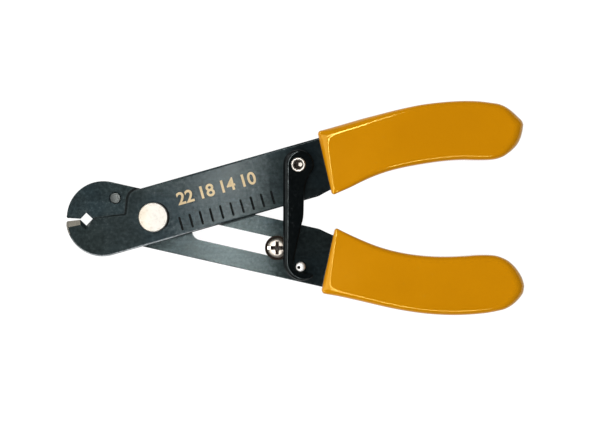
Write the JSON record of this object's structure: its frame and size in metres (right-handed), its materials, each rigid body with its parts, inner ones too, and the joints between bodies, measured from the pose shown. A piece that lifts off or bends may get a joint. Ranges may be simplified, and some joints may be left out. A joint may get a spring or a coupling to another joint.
{
  "type": "wire stripping pliers",
  "caption": "Wire stripping pliers: lapped black steel arms on a flat rivet, notched jaws, screw stop in a slot, hook lock lever and dipped vinyl grips.",
  "frame": {"origin": "on the pivot rivet's axis, at the plane the tool lies on", "axes": "+X from the pivot to the handles, +Y to the handle that carries the lock lever, +Z to the face with the screw head and the lever"},
  "size_m": [0.1298, 0.0604, 0.0099],
  "materials": {
    "black_steel": "black oxide, satin",
    "black_lever": "black, semi-gloss",
    "bright_steel": "bright",
    "nickel": "nickel plated",
    "spring_steel": "bright wire",
    "vinyl": "dipped vinyl, glossy"
  },
  "bodies": {
    "back_arm": {"back_arm": "black_steel", "lower_grip": "vinyl", "lock_pin": "nickel", "jaw_pin": "bright_steel"},
    "pivot": {"pivot_rivet": "bright_steel", "pivot_washer": "bright_steel", "return_spring": "spring_steel"},
    "front_arm": {"front_arm": "black_steel", "upper_grip": "vinyl", "lever_rivet": "nickel", "lever_spacer_washer": "bright_steel"},
    "lock_lever": {"lock_lever": "black_lever"},
    "stop": {"stop_front_washer": "black_steel", "stop_bush": "bright_steel", "stop_back_washer": "nickel"},
    "stop_screw": {"stop_screw": "nickel"},
    "stop_nut": {"stop_nut": "nickel"}
  },
  "joints": [
    {"name": "handle_opening", "type": "hinge", "parent": "back_arm", "child": "pivot", "pos_m": [0, 0, 0.005], "axis": [0, 0, 1], "range_deg": [0, 16], "deforming": ["return_spring"]},
    {"name": "handle_squeeze", "type": "hinge", "parent": "pivot", "child": "front_arm", "pos_m": [0, 0, 0.005], "axis": [0, 0, 1], "range_deg": [-10.5, 0], "stiffness_Nm_per_rad": 0.4, "springref_deg": 28.65, "deforming": ["return_spring"]},
    {"name": "lock_swing", "type": "hinge", "parent": "front_arm", "child": "lock_lever", "pos_m": [0.04146, 0.0137, 0.0082], "axis": [0, 0, -1], "range_deg": [0, 104]},
    {"name": "stop_slide", "type": "slide", "parent": "back_arm", "child": "stop", "axis": [-0.969, 0.247, 0], "range_m": [0, 0.0145]},
    {"name": "stop_screw_turn", "type": "hinge", "parent": "stop", "child": "stop_screw", "pos_m": [0.03478, -0.00968, 0.005], "axis": [0, 0, 1], "range_deg": [0, 270]},
    {"name": "stop_nut_turn", "type": "hinge", "parent": "stop", "child": "stop_nut", "pos_m": [0.03478, -0.00968, 0.005], "axis": [0, 0, 1], "range_deg": [-180, 180]}
  ],
  "couplings": [
    {"joint": "lock_swing", "follows": "handle_opening", "ratio": 6.5}
  ]
}
